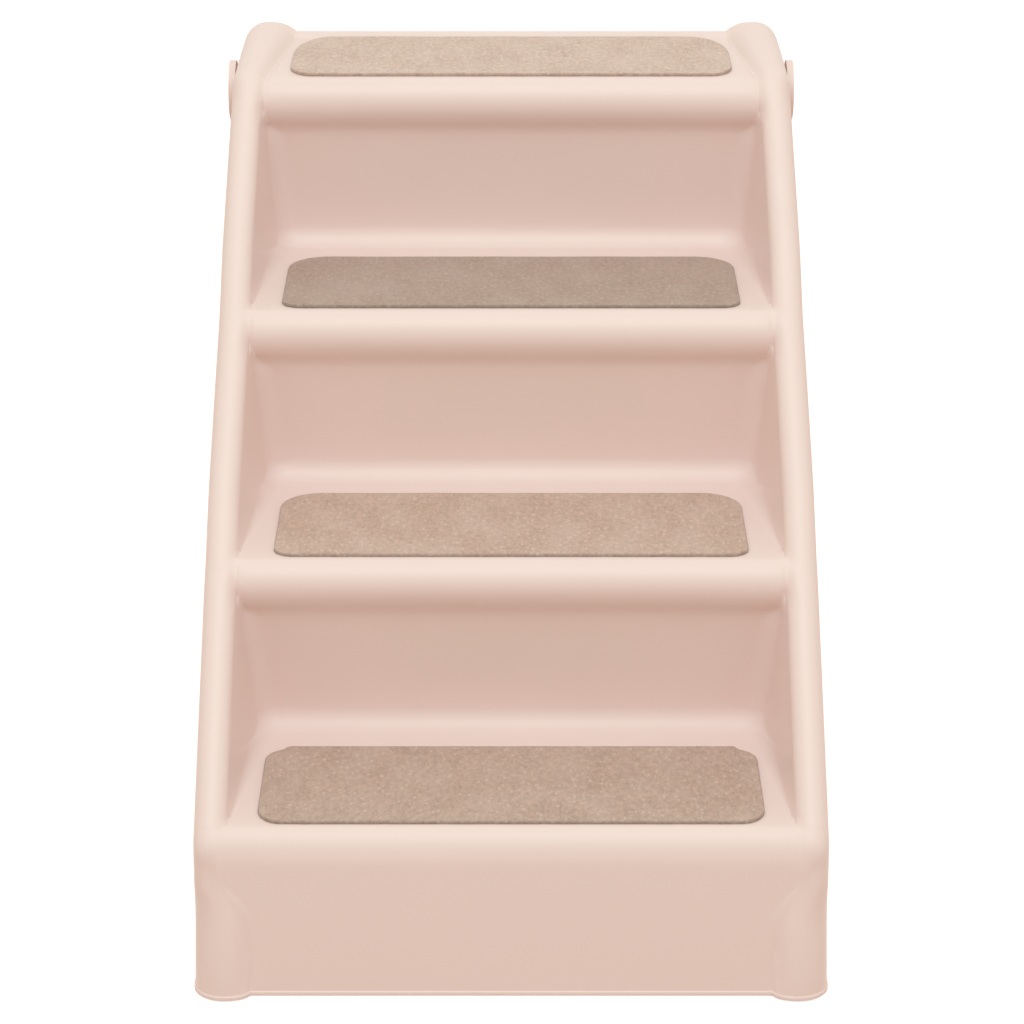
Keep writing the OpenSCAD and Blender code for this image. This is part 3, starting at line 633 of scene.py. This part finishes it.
def add_node(tree, kind, inputs=None, **settings):
    """Adds a node; inputs are values, or output sockets to link, by the socket's name or number."""
    made = tree.nodes.new(kind)
    for key, value in settings.items():
        setattr(made, key, value)
    for key, value in (inputs or {}).items():
        if isinstance(value, bpy.types.NodeSocket):
            tree.links.new(value, made.inputs[key])
        else:
            made.inputs[key].default_value = value
    return made


def empty_tree(owner):
    """The node tree of a material or a world, with nothing in it."""
    owner.use_nodes = True
    owner.node_tree.nodes.clear()
    return owner.node_tree


def material(name, finish, colours):
    """A material of a name, made once: its output, and a Principled shader with the inputs that
    finish works out from the piece's own coordinates."""
    made = bpy.data.materials.get(name)
    if not made:
        made = bpy.data.materials.new(name)
        tree = empty_tree(made)
        place = add_node(tree, "ShaderNodeTexCoord").outputs["Object"]
        shader = add_node(tree, "ShaderNodeBsdfPrincipled", finish(tree, place, colours))
        add_node(tree, "ShaderNodeOutputMaterial", {"Surface": shader.outputs["BSDF"]})
    return made


def shades(colour, *shares):
    """A colour times each share in turn, never over 1, with full opacity."""
    return [(*(min(1, c * share) for c in colour), 1) for share in shares]


def moulded_polypropylene(tree, place, colours):
    """Polypropylene from a satin-finished mould. The eye sees a soft, broad shine, a colour that is
    the same all over but for a breath of flow clouding, and the mould's spark-worn grain."""
    cloud = add_node(tree, "ShaderNodeTexNoise", {"Vector": place, "Scale": 14.0, "Detail": 3.0})
    dark, light = shades(colours.plastic, 0.985, 1.012)
    colour = add_node(tree, "ShaderNodeMix", {
        0: cloud.outputs["Fac"], 6: dark, 7: light,
    }, data_type="RGBA")
    rough = add_node(tree, "ShaderNodeMapRange", {
        "Value": cloud.outputs["Fac"], "To Min": 0.40, "To Max": 0.46,
    })
    # The real grain is 0.1 mm; it is drawn at 0.6 mm, the finest that shows in the picture
    grain = add_node(tree, "ShaderNodeTexNoise", {
        "Vector": place, "Scale": 1 / (0.6 * MM), "Detail": 2.0,
    })
    bump = add_node(tree, "ShaderNodeBump", {
        "Height": grain.outputs["Fac"], "Strength": 0.12, "Distance": 0.06 * MM,
    })
    return {
        "Base Color": colour.outputs[2], "Roughness": rough.outputs["Result"],
        "Normal": bump.outputs["Normal"], "IOR": 1.49, "Specular IOR Level": 0.4,
    }


def needled_felt(tree, place, colours):
    """Needle-punched polyester felt. The eye sees a dry, speckled nap of mixed light and dark
    fibres, and on the cut edge the columns that the needle rows leave. The cut edge is painted
    darker, as painted shade, and each mat's whole colour carries painted light and shade of its
    own."""
    # The fibres run mostly front to back, so all patterns are drawn out 1.8 times that way
    place = add_node(tree, "ShaderNodeVectorMath", {
        0: place, 1: (1, 1 / 1.8, 1),
    }, operation="MULTIPLY").outputs[0]
    # Fibre tufts are about 0.5 mm; noises of 3.2 mm and 1.5 mm draw the clumps that they form
    clump = add_node(tree, "ShaderNodeTexNoise", {
        "Vector": place, "Scale": 1 / (3.2 * MM), "Detail": 2.0, "Roughness": 0.65,
    })
    tuft = add_node(tree, "ShaderNodeTexNoise", {
        "Vector": place, "Scale": 1 / (1.5 * MM), "Detail": 3.0, "Roughness": 0.7,
    })
    both = add_node(tree, "ShaderNodeMath", {
        0: clump.outputs["Fac"], 1: tuft.outputs["Fac"],
    }, operation="ADD")
    spread = add_node(tree, "ShaderNodeMapRange", {
        "Value": both.outputs[0], "From Min": 0.74, "From Max": 1.26,
    })
    patch = add_node(tree, "ShaderNodeTexNoise", {
        "Vector": place, "Scale": 1 / (22 * MM), "Detail": 2.0,
    })
    cloud = add_node(tree, "ShaderNodeMapRange", {
        "Value": patch.outputs["Fac"], "From Min": 0.35, "From Max": 0.65, "To Max": 0.25,
    })
    speck = add_node(tree, "ShaderNodeTexVoronoi", {"Vector": place, "Scale": 1 / (4.6 * MM)})
    point = add_node(tree, "ShaderNodeMapRange", {
        "Value": speck.outputs["Distance"], "From Min": 0.1, "From Max": 0.3,
        "To Min": 0.6, "To Max": 0.0,
    })
    # Painted shade: the cut edge is painted darker than the nap, and needle rows, 2.2 mm apart,
    # show faintly in it
    edge = add_node(tree, "ShaderNodeAttribute", attribute_name="cut_edge")
    row = add_node(tree, "ShaderNodeTexNoise", {"Vector": place, "Scale": 1 / (2.2 * MM)})
    cut = add_node(tree, "ShaderNodeMath", {
        0: edge.outputs["Fac"], 1: row.outputs["Fac"],
    }, operation="MULTIPLY")
    light = (*colours.felt_light, 1)
    ground, pale, painted_edge_shade = shades(colours.felt, 0.79, 1.21, 0.45)
    for share, over in (
        (spread.outputs["Result"], pale), (cloud.outputs["Result"], light),
        (point.outputs["Result"], light), (cut.outputs[0], painted_edge_shade),
    ):
        ground = add_node(tree, "ShaderNodeMix", {
            0: share, 6: ground, 7: over,
        }, data_type="RGBA").outputs[2]
    # Painted light and shade: each mat's whole colour is scaled, the top mat painted lighter as
    # painted sheen and the third darker as painted shade
    light_and_shade = add_node(tree, "ShaderNodeAttribute", attribute_name="mat_shade")
    colour = add_node(tree, "ShaderNodeVectorMath", {
        0: ground, "Scale": light_and_shade.outputs["Fac"],
    }, operation="SCALE")
    fibre = add_node(tree, "ShaderNodeTexNoise", {
        "Vector": place, "Scale": 1 / (0.7 * MM), "Detail": 3.0, "Roughness": 0.75,
    })
    nap = add_node(tree, "ShaderNodeMath", {
        0: fibre.outputs["Fac"], 1: tuft.outputs["Fac"],
    }, operation="ADD")
    bump = add_node(tree, "ShaderNodeBump", {
        "Height": nap.outputs[0], "Strength": 0.7, "Distance": 0.5 * MM,
    })
    # Seen flat on, the fibres' own shine gathers and the nap turns pale
    return {
        "Base Color": colour.outputs[0], "Normal": bump.outputs["Normal"], "Roughness": 0.56,
        "Specular IOR Level": 0.85, "Sheen Weight": 0.5, "Sheen Roughness": 0.3,
    }


def soft_rubber(tree, place, colours):
    """Injection-moulded rubber: nearly black, matte, with a faint bloom of dust."""
    bloom = add_node(tree, "ShaderNodeTexNoise", {
        "Vector": place, "Scale": 1 / (9 * MM), "Detail": 4.0,
    })
    dark, light = shades(colours.rubber, 0.8, 1.5)
    colour = add_node(tree, "ShaderNodeMix", {
        0: bloom.outputs["Fac"], 6: dark, 7: light,
    }, data_type="RGBA")
    grain = add_node(tree, "ShaderNodeTexNoise", {"Vector": place, "Scale": 1 / (0.8 * MM)})
    bump = add_node(tree, "ShaderNodeBump", {
        "Height": grain.outputs["Fac"], "Strength": 0.3, "Distance": 0.1 * MM,
    })
    return {
        "Base Color": colour.outputs[2], "Normal": bump.outputs["Normal"],
        "Roughness": 0.75, "Specular IOR Level": 0.35,
    }


def turned_nylon(tree, place, colours):
    """Turned nylon: milky white and waxy, a little uneven in tone."""
    tone = add_node(tree, "ShaderNodeTexNoise", {"Vector": place, "Scale": 1 / (2 * MM)})
    dark, light = shades(colours.nylon, 0.96, 1)
    colour = add_node(tree, "ShaderNodeMix", {
        0: tone.outputs["Fac"], 6: dark, 7: light,
    }, data_type="RGBA")
    return {"Base Color": colour.outputs[2], "Roughness": 0.45, "IOR": 1.53}


def zinc_plated_steel(tree, place, colours):
    """Turned steel under bright zinc: grey, metallic, with a fine mottle in its shine."""
    mottle = add_node(tree, "ShaderNodeTexNoise", {
        "Vector": place, "Scale": 1 / (2.5 * MM), "Detail": 4.0,
    })
    dark, light = shades(colours.zinc, 0.88, 1.06)
    colour = add_node(tree, "ShaderNodeMix", {
        0: mottle.outputs["Fac"], 6: dark, 7: light,
    }, data_type="RGBA")
    rough = add_node(tree, "ShaderNodeMapRange", {
        "Value": mottle.outputs["Fac"], "To Min": 0.24, "To Max": 0.42,
    })
    return {
        "Base Color": colour.outputs[2], "Roughness": rough.outputs["Result"], "Metallic": 1.0,
    }


def hook_tape(tree, place, colours):
    """Woven nylon hook tape: off-white, with rows of small hooks 1.6 mm apart."""
    hooks = add_node(tree, "ShaderNodeTexVoronoi", {
        "Vector": place, "Scale": 1 / (1.6 * MM), "Randomness": 0.25,
    })
    light, dark = shades(colours.nylon, 1, 0.6)
    colour = add_node(tree, "ShaderNodeMix", {
        0: hooks.outputs["Distance"], 6: light, 7: dark,
    }, data_type="RGBA")
    bump = add_node(tree, "ShaderNodeBump", {
        "Height": hooks.outputs["Distance"], "Strength": 0.8, "Distance": 0.5 * MM,
    })
    return {
        "Base Color": colour.outputs[2], "Normal": bump.outputs["Normal"], "Roughness": 0.6,
    }


# Felt mats


def mat_outline(x, half, y_front, y_back, front, back, inset, notch):
    """Front and back y of a mat at each x: straight lines that bend into quarter ellipses of the
    given (across, along) radii at the corners. The lowest mat's back edge also drops by notch where
    its corner begins."""
    hw = half - inset
    x = np.clip(np.abs(x), 0, hw)
    out = []
    for (ra, rl), y, sign in ((front, y_front, 1), (back, y_back, -1)):
        ra, rl = ra - inset, rl - inset
        u = np.clip((x - (hw - ra)) / ra, 0, 1)
        edge = y + sign * (inset + rl * (1 - np.sqrt(np.clip(1 - u * u, 0, 1))))
        if sign < 0 and notch:
            step = np.clip((x - (hw - ra + 1 * MM)) / (4 * MM), 0, 1)
            edge = edge - notch * step * step * (3 - 2 * step) * np.sqrt(np.clip(1 - u * u, 0, 1))
        out.append(edge)
    return out


def mat_mesh(f, m, i):
    """One felt mat as a closed slab. Its top is a grid between the outline's front and back lines,
    lifted by slow waves; four rings round the cut edge join it to the same grid on the tread."""
    lowest = i == 0
    half = m.half_low if lowest else m.half
    y0 = f.nose_y + i * f.run + m.front
    y1 = y0 + m.length
    # Corner radii, across and along. The top mat is cut rounder, and stops short of the rear lip
    front, back, notch = (13 * MM, 11.5 * MM), (27 * MM, 27 * MM), 0
    if lowest:
        front, back, notch = (15.5 * MM, 19 * MM), (15.5 * MM, 21 * MM), 4.5 * MM
    elif i == STEPS - 1:
        front, back = (16 * MM, 23 * MM), (27 * MM, 50 * MM)
        y1 -= 3.4 * MM
    low = f.tread_z(i) + 0.05 * MM
    top = f.tread_z(i) + m.proud
    k = np.linspace(-1, 1, 121)
    across = np.sign(k) * (1 - (1 - np.abs(k)) ** 1.7)
    t = np.linspace(0, 1, 61)

    def layer(inset, z):
        """The grid at a height, set in from the outline: straight from its front to its back."""
        x = across * (half - inset)
        a, b = mat_outline(x, half, y0, y1, front, back, inset, notch)
        y = a[:, None] + t[None, :] * (b - a)[:, None]
        xx = np.broadcast_to(x[:, None], y.shape)
        return np.stack([xx, y, np.full(y.shape, z)], -1)

    def wander(p, seed):
        """A slow sum of sines that makes a cut line or a nap uneven."""
        x, y = p[..., 0] / MM, p[..., 1] / MM
        return (np.sin(x / 9.7 + seed) + np.sin(y / 7.3 - x / 15.1 + 2 * seed)
                + 0.6 * np.sin(x / 3.1 + y / 4.4 + 3 * seed)) / 2.6

    upper = layer(0.7 * MM, top)
    upper[..., 2] += 0.12 * MM * wander(upper, i)
    lower = layer(0.5 * MM, low)
    nx, ny = upper.shape[:2]
    ring_idx = np.concatenate([
        np.arange(ny - 1), np.arange(nx - 1) * ny + ny - 1,
        (nx - 1) * ny + np.arange(ny - 1, 0, -1), np.arange(nx - 1, 0, -1) * ny,
    ])
    # Rings of the cut edge: how far in, from which face, and how far from it
    rings = []
    for inset, face, off in (
        (0.3, top, -0.15), (0.05, top, -0.55), (0, low, 0.6), (0.15, low, 0.2),
    ):
        ring = layer(inset * MM, face + off * MM).reshape(-1, 3)[ring_idx]
        ring[:, 1] += 0.15 * MM * wander(ring * 3, i + 1)
        rings.append(ring)
    verts = np.concatenate([upper.reshape(-1, 3), lower.reshape(-1, 3), *rings])
    n = nx * ny
    r = len(ring_idx)
    loops = [ring_idx] + [2 * n + q * r + np.arange(r) for q in range(4)] + [ring_idx + n]
    quads = [grid_quads(nx, ny), grid_quads(nx, ny, n)[:, ::-1]]
    for a, b in zip(loops[:-1], loops[1:]):
        quads.append(np.column_stack([a, np.roll(a, -1), np.roll(b, -1), b]))
    # Painted shade on the felt: full on the rings of the cut edge, 0.3 round the top's outline,
    # none on the top and bottom
    edge = np.concatenate([np.zeros(2 * n), np.ones(4 * r)])
    edge[ring_idx] = 0.3
    return verts, np.concatenate(quads), edge


# Operators


def chosen():
    """What the scene's properties say: the flight's construction, the mats and the colours."""
    scene = bpy.context.scene
    return Flight(scene.stair_flight), scene.stair_mats, scene.stair_colours


class STAIRS_OT_flight(bpy.types.Operator):
    """Moulds the stair flight: shell, webs and bosses"""

    bl_idname = "stairs.flight"
    bl_label = "Stair flight"

    def execute(self, context):
        f, _, colours = chosen()
        plastic = material("Moulded polypropylene", moulded_polypropylene, colours)
        make_piece("flight_moulding", shell_mesh(f), plastic, "flight", ["stair_shell"])
        webs = merged([web_mesh(f, f.half_w * k, 2.4 * MM) for k in (-0.34, 0.34)])
        make_piece("flight_webs", webs, plastic, "flight")
        # Bosses: centre, inner and outer end, radii of bore and outside, and of the eased edges.
        # Those of the hinge reach a little past the side, those of the stays into its wall
        hinge_x = float(f.side_x(HINGE[1])) + 0.3 * MM
        stay_x = float(f.side_x(STAY_PIVOT[1])) - f.wall / 2
        bosses = []
        for centre, x0, x1, bore, outside, eased in (
            (HINGE, hinge_x - 15 * MM, hinge_x, 5.1 * MM, 14 * MM, 0.6 * MM),
            (STAY_PIVOT, 186.45 * MM, stay_x, 4.1 * MM, 12 * MM, 0.5 * MM),
        ):
            profile = [(x0, bore), (x0, outside), (x1, outside), (x1, bore)]
            boss = turned_mesh(centre, rounded_profile(profile, eased))
            bosses += [boss, flipped_x(boss)]
        make_piece("flight_bosses", merged(bosses), plastic, "flight")
        return {"FINISHED"}


class STAIRS_OT_mats(bpy.types.Operator):
    """Cuts the four felt mats and lays them on the treads"""

    bl_idname = "stairs.mats"
    bl_label = "Felt mats"

    def execute(self, context):
        f, m, colours = chosen()
        felt = material("Needled felt", needled_felt, colours)
        for i in range(STEPS):
            verts, quads, edge = mat_mesh(f, m, i)
            piece = make_piece(
                f"felt_mat_{i + 1}", (verts, quads), felt, "flight",
                [f"tread_mat_{i + 1}"], smooth=60,
            )
            # This mat's painted light and shade, the same share at every point
            light_and_shade = np.full(len(verts), MAT_PAINTED_LIGHT[i])
            for name, values in (("cut_edge", edge), ("mat_shade", light_and_shade)):
                made = piece.data.attributes.new(name, "FLOAT", "POINT")
                made.data.foreach_set("value", values)
        return {"FINISHED"}


class STAIRS_OT_leg(bpy.types.Operator):
    """Makes the folding rear leg and its two stays, with moulded edges"""

    bl_idname = "stairs.leg"
    bl_label = "Leg and stays"

    def execute(self, context):
        _, _, colours = chosen()
        plastic = material("Moulded polypropylene", moulded_polypropylene, colours)
        softened_copy("folding_leg", "rear_leg", plastic, "leg", 0.8 * MM)
        for side in ("left", "right"):
            name, node, body = f"{side}_stay", f"stay_{side}", f"stay_arm_{side}"
            softened_copy(name, node, plastic, body, 0.6 * MM)
        return {"FINISHED"}


class STAIRS_OT_hardware(bpy.types.Operator):
    """Turns the pins, clips and washers, moulds the feet and cuts the strips, with eased edges"""

    bl_idname = "stairs.hardware"
    bl_label = "Hardware"

    def execute(self, context):
        _, _, colours = chosen()
        zinc = material("Zinc-plated steel", zinc_plated_steel, colours)
        nylon = material("Turned nylon", turned_nylon, colours)
        rubber = material("Moulded rubber", soft_rubber, colours)
        tape = material("Nylon hook tape", hook_tape, colours)
        # Word in a node's name, its material, and the width of its eased edges
        finishes = (
            ("_pin_", zinc, 0.35 * MM), ("_clip_", zinc, 0.2 * MM),
            ("_washer_", nylon, 0.15 * MM), ("_spacers_", nylon, 0.2 * MM),
            ("_foot_", rubber, 0.5 * MM), ("_strips_", tape, 0.15 * MM),
        )
        for node, solid in frame["nodes"].items():
            for word, look, width in finishes:
                if word in node:
                    name = f"finished_{node}"
                    softened_copy(name, node, look, solid["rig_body"], width)
        return {"FINISHED"}


def seen_ray(tree):
    """1 on the rays that show the studio itself: from the camera, a shine or a clear piece."""
    path = add_node(tree, "ShaderNodeLightPath").outputs
    seen = path["Is Camera Ray"]
    for kind in ("Is Glossy Ray", "Is Transmission Ray"):
        seen = add_node(tree, "ShaderNodeMath", {
            0: seen, 1: path[kind],
        }, operation="MAXIMUM").outputs[0]
    return seen


class STAIRS_OT_stage(bpy.types.Operator):
    """Builds the studio: floor, soft lights, world and camera"""

    bl_idname = "stairs.stage"
    bl_label = "Studio"

    def execute(self, context):
        _, _, colours = chosen()
        scene = context.scene
        mesh = bpy.data.meshes.new("studio_floor")
        # A hair below the feet, whose soles are at 0
        half, low = 9.0, -0.2 * MM
        corners = [(x * half, y * half, low) for x, y in ((-1, -1), (1, -1), (1, 1), (-1, 1))]
        mesh.from_pydata(corners, [], [(0, 1, 2, 3)])
        floor = bpy.data.objects.new("studio_floor", mesh)
        scene.collection.objects.link(floor)
        made = bpy.data.materials.new("Studio floor")
        tree = empty_tree(made)
        matte = add_node(tree, "ShaderNodeBsdfDiffuse", {"Color": (*colours.floor, 1)})
        # With the light that falls on it, this share of glow shows the floor just white
        share = add_node(tree, "ShaderNodeMath", {
            0: seen_ray(tree), 1: 0.79,
        }, operation="MULTIPLY")
        glow = add_node(tree, "ShaderNodeEmission", {
            "Color": (1, 1, 1, 1), "Strength": share.outputs[0],
        })
        both = add_node(tree, "ShaderNodeAddShader", {0: matte.outputs[0], 1: glow.outputs[0]})
        add_node(tree, "ShaderNodeOutputMaterial", {"Surface": both.outputs[0]})
        mesh.materials.append(made)

        # The room lights the object warmly and is itself seen white
        world = bpy.data.worlds.new("Studio")
        tree = empty_tree(world)
        air = add_node(tree, "ShaderNodeBackground", {
            "Color": (1, 0.894, 0.748, 1), "Strength": 0.75,
        })
        white = add_node(tree, "ShaderNodeBackground", {"Color": (1, 1, 1, 1), "Strength": 1.0})
        mix = add_node(tree, "ShaderNodeMixShader", {
            0: seen_ray(tree), 1: air.outputs[0], 2: white.outputs[0],
        })
        add_node(tree, "ShaderNodeOutputWorld", {"Surface": mix.outputs[0]})
        scene.world = world

        # Square soft boxes, all at one distance from a point in the middle of the object: height
        # angle, angle round from the front, watts and colour. The high one is daylight cool,
        # against the warm light that the room gives
        distance, middle = 2.4, 0.25
        for name, high, round_by, watts, tint in (
            ("soft_high", 60, 0, 23.2, (0.69, 0.94, 1)),
            ("soft_front", 40, 0, 1.8, (0.85, 0.75, 1)),
            ("soft_rear", 60, 180, 0.9, (1, 1, 1)),
        ):
            lamp = bpy.data.lights.new(name, "AREA")
            lamp.size = 1.6
            lamp.energy = watts
            lamp.color = tint
            holder = bpy.data.objects.new(name, lamp)
            tilt, spin = math.radians(90 - high), math.radians(round_by)
            level, up = distance * math.sin(tilt), distance * math.cos(tilt)
            holder.location = (level * math.sin(spin), -level * math.cos(spin), middle + up)
            holder.rotation_euler = (tilt, 0, spin)
            scene.collection.objects.link(holder)

        # The camera fitted to the photograph: its width, focal length and the object's middle line,
        # all in pixels, its place, and how far it looks down, in radians
        width, focal, middle_x, looks_down = 1024, 3652.966, 511.2, 0.363295
        data = bpy.data.cameras.new("photo_view")
        data.sensor_width = 36
        data.lens = focal / width * data.sensor_width
        data.shift_x = (width / 2 - middle_x) / width
        data.clip_end = 50
        camera = bpy.data.objects.new("photo_view", data)
        camera.location = (0, -2.339554, 1.100445)
        camera.rotation_euler = (math.pi / 2 - looks_down, 0, 0)
        scene.collection.objects.link(camera)
        scene.camera = camera
        scene.view_settings.view_transform = "Standard"
        return {"FINISHED"}


class STAIRS_PT_panel(bpy.types.Panel):
    """Sidebar panel with the sizes, the colours and a button for every group of pieces"""

    bl_idname = "STAIRS_PT_panel"
    bl_label = "Pet stairs"
    bl_space_type = "VIEW_3D"
    bl_region_type = "UI"
    bl_category = "Pet stairs"

    def draw(self, context):
        scene = context.scene
        for group in (scene.stair_flight, scene.stair_mats, scene.stair_colours):
            box = self.layout.box()
            for key in group.__annotations__:
                box.prop(group, key)
        for op in OPERATORS:
            self.layout.operator(op.bl_idname)


OPERATORS = (STAIRS_OT_stage, STAIRS_OT_flight, STAIRS_OT_mats, STAIRS_OT_leg, STAIRS_OT_hardware)
CLASSES = (FlightSizes, MatSizes, FinishColours, *OPERATORS, STAIRS_PT_panel)


def register():
    """Registers the classes and gives the scene their sizes and colours."""
    for cls in CLASSES:
        bpy.utils.register_class(cls)
    bpy.types.Scene.stair_flight = bpy.props.PointerProperty(type=FlightSizes)
    bpy.types.Scene.stair_mats = bpy.props.PointerProperty(type=MatSizes)
    bpy.types.Scene.stair_colours = bpy.props.PointerProperty(type=FinishColours)


def unregister():
    """Takes back what register gave, in the opposite order."""
    del bpy.types.Scene.stair_colours
    del bpy.types.Scene.stair_mats
    del bpy.types.Scene.stair_flight
    for cls in reversed(CLASSES):
        bpy.utils.unregister_class(cls)


def main():
    """Makes the studio and every piece."""
    register()
    bpy.ops.stairs.stage()
    bpy.ops.stairs.flight()
    bpy.ops.stairs.mats()
    bpy.ops.stairs.leg()
    bpy.ops.stairs.hardware()


if __name__ == "__main__":
    main()
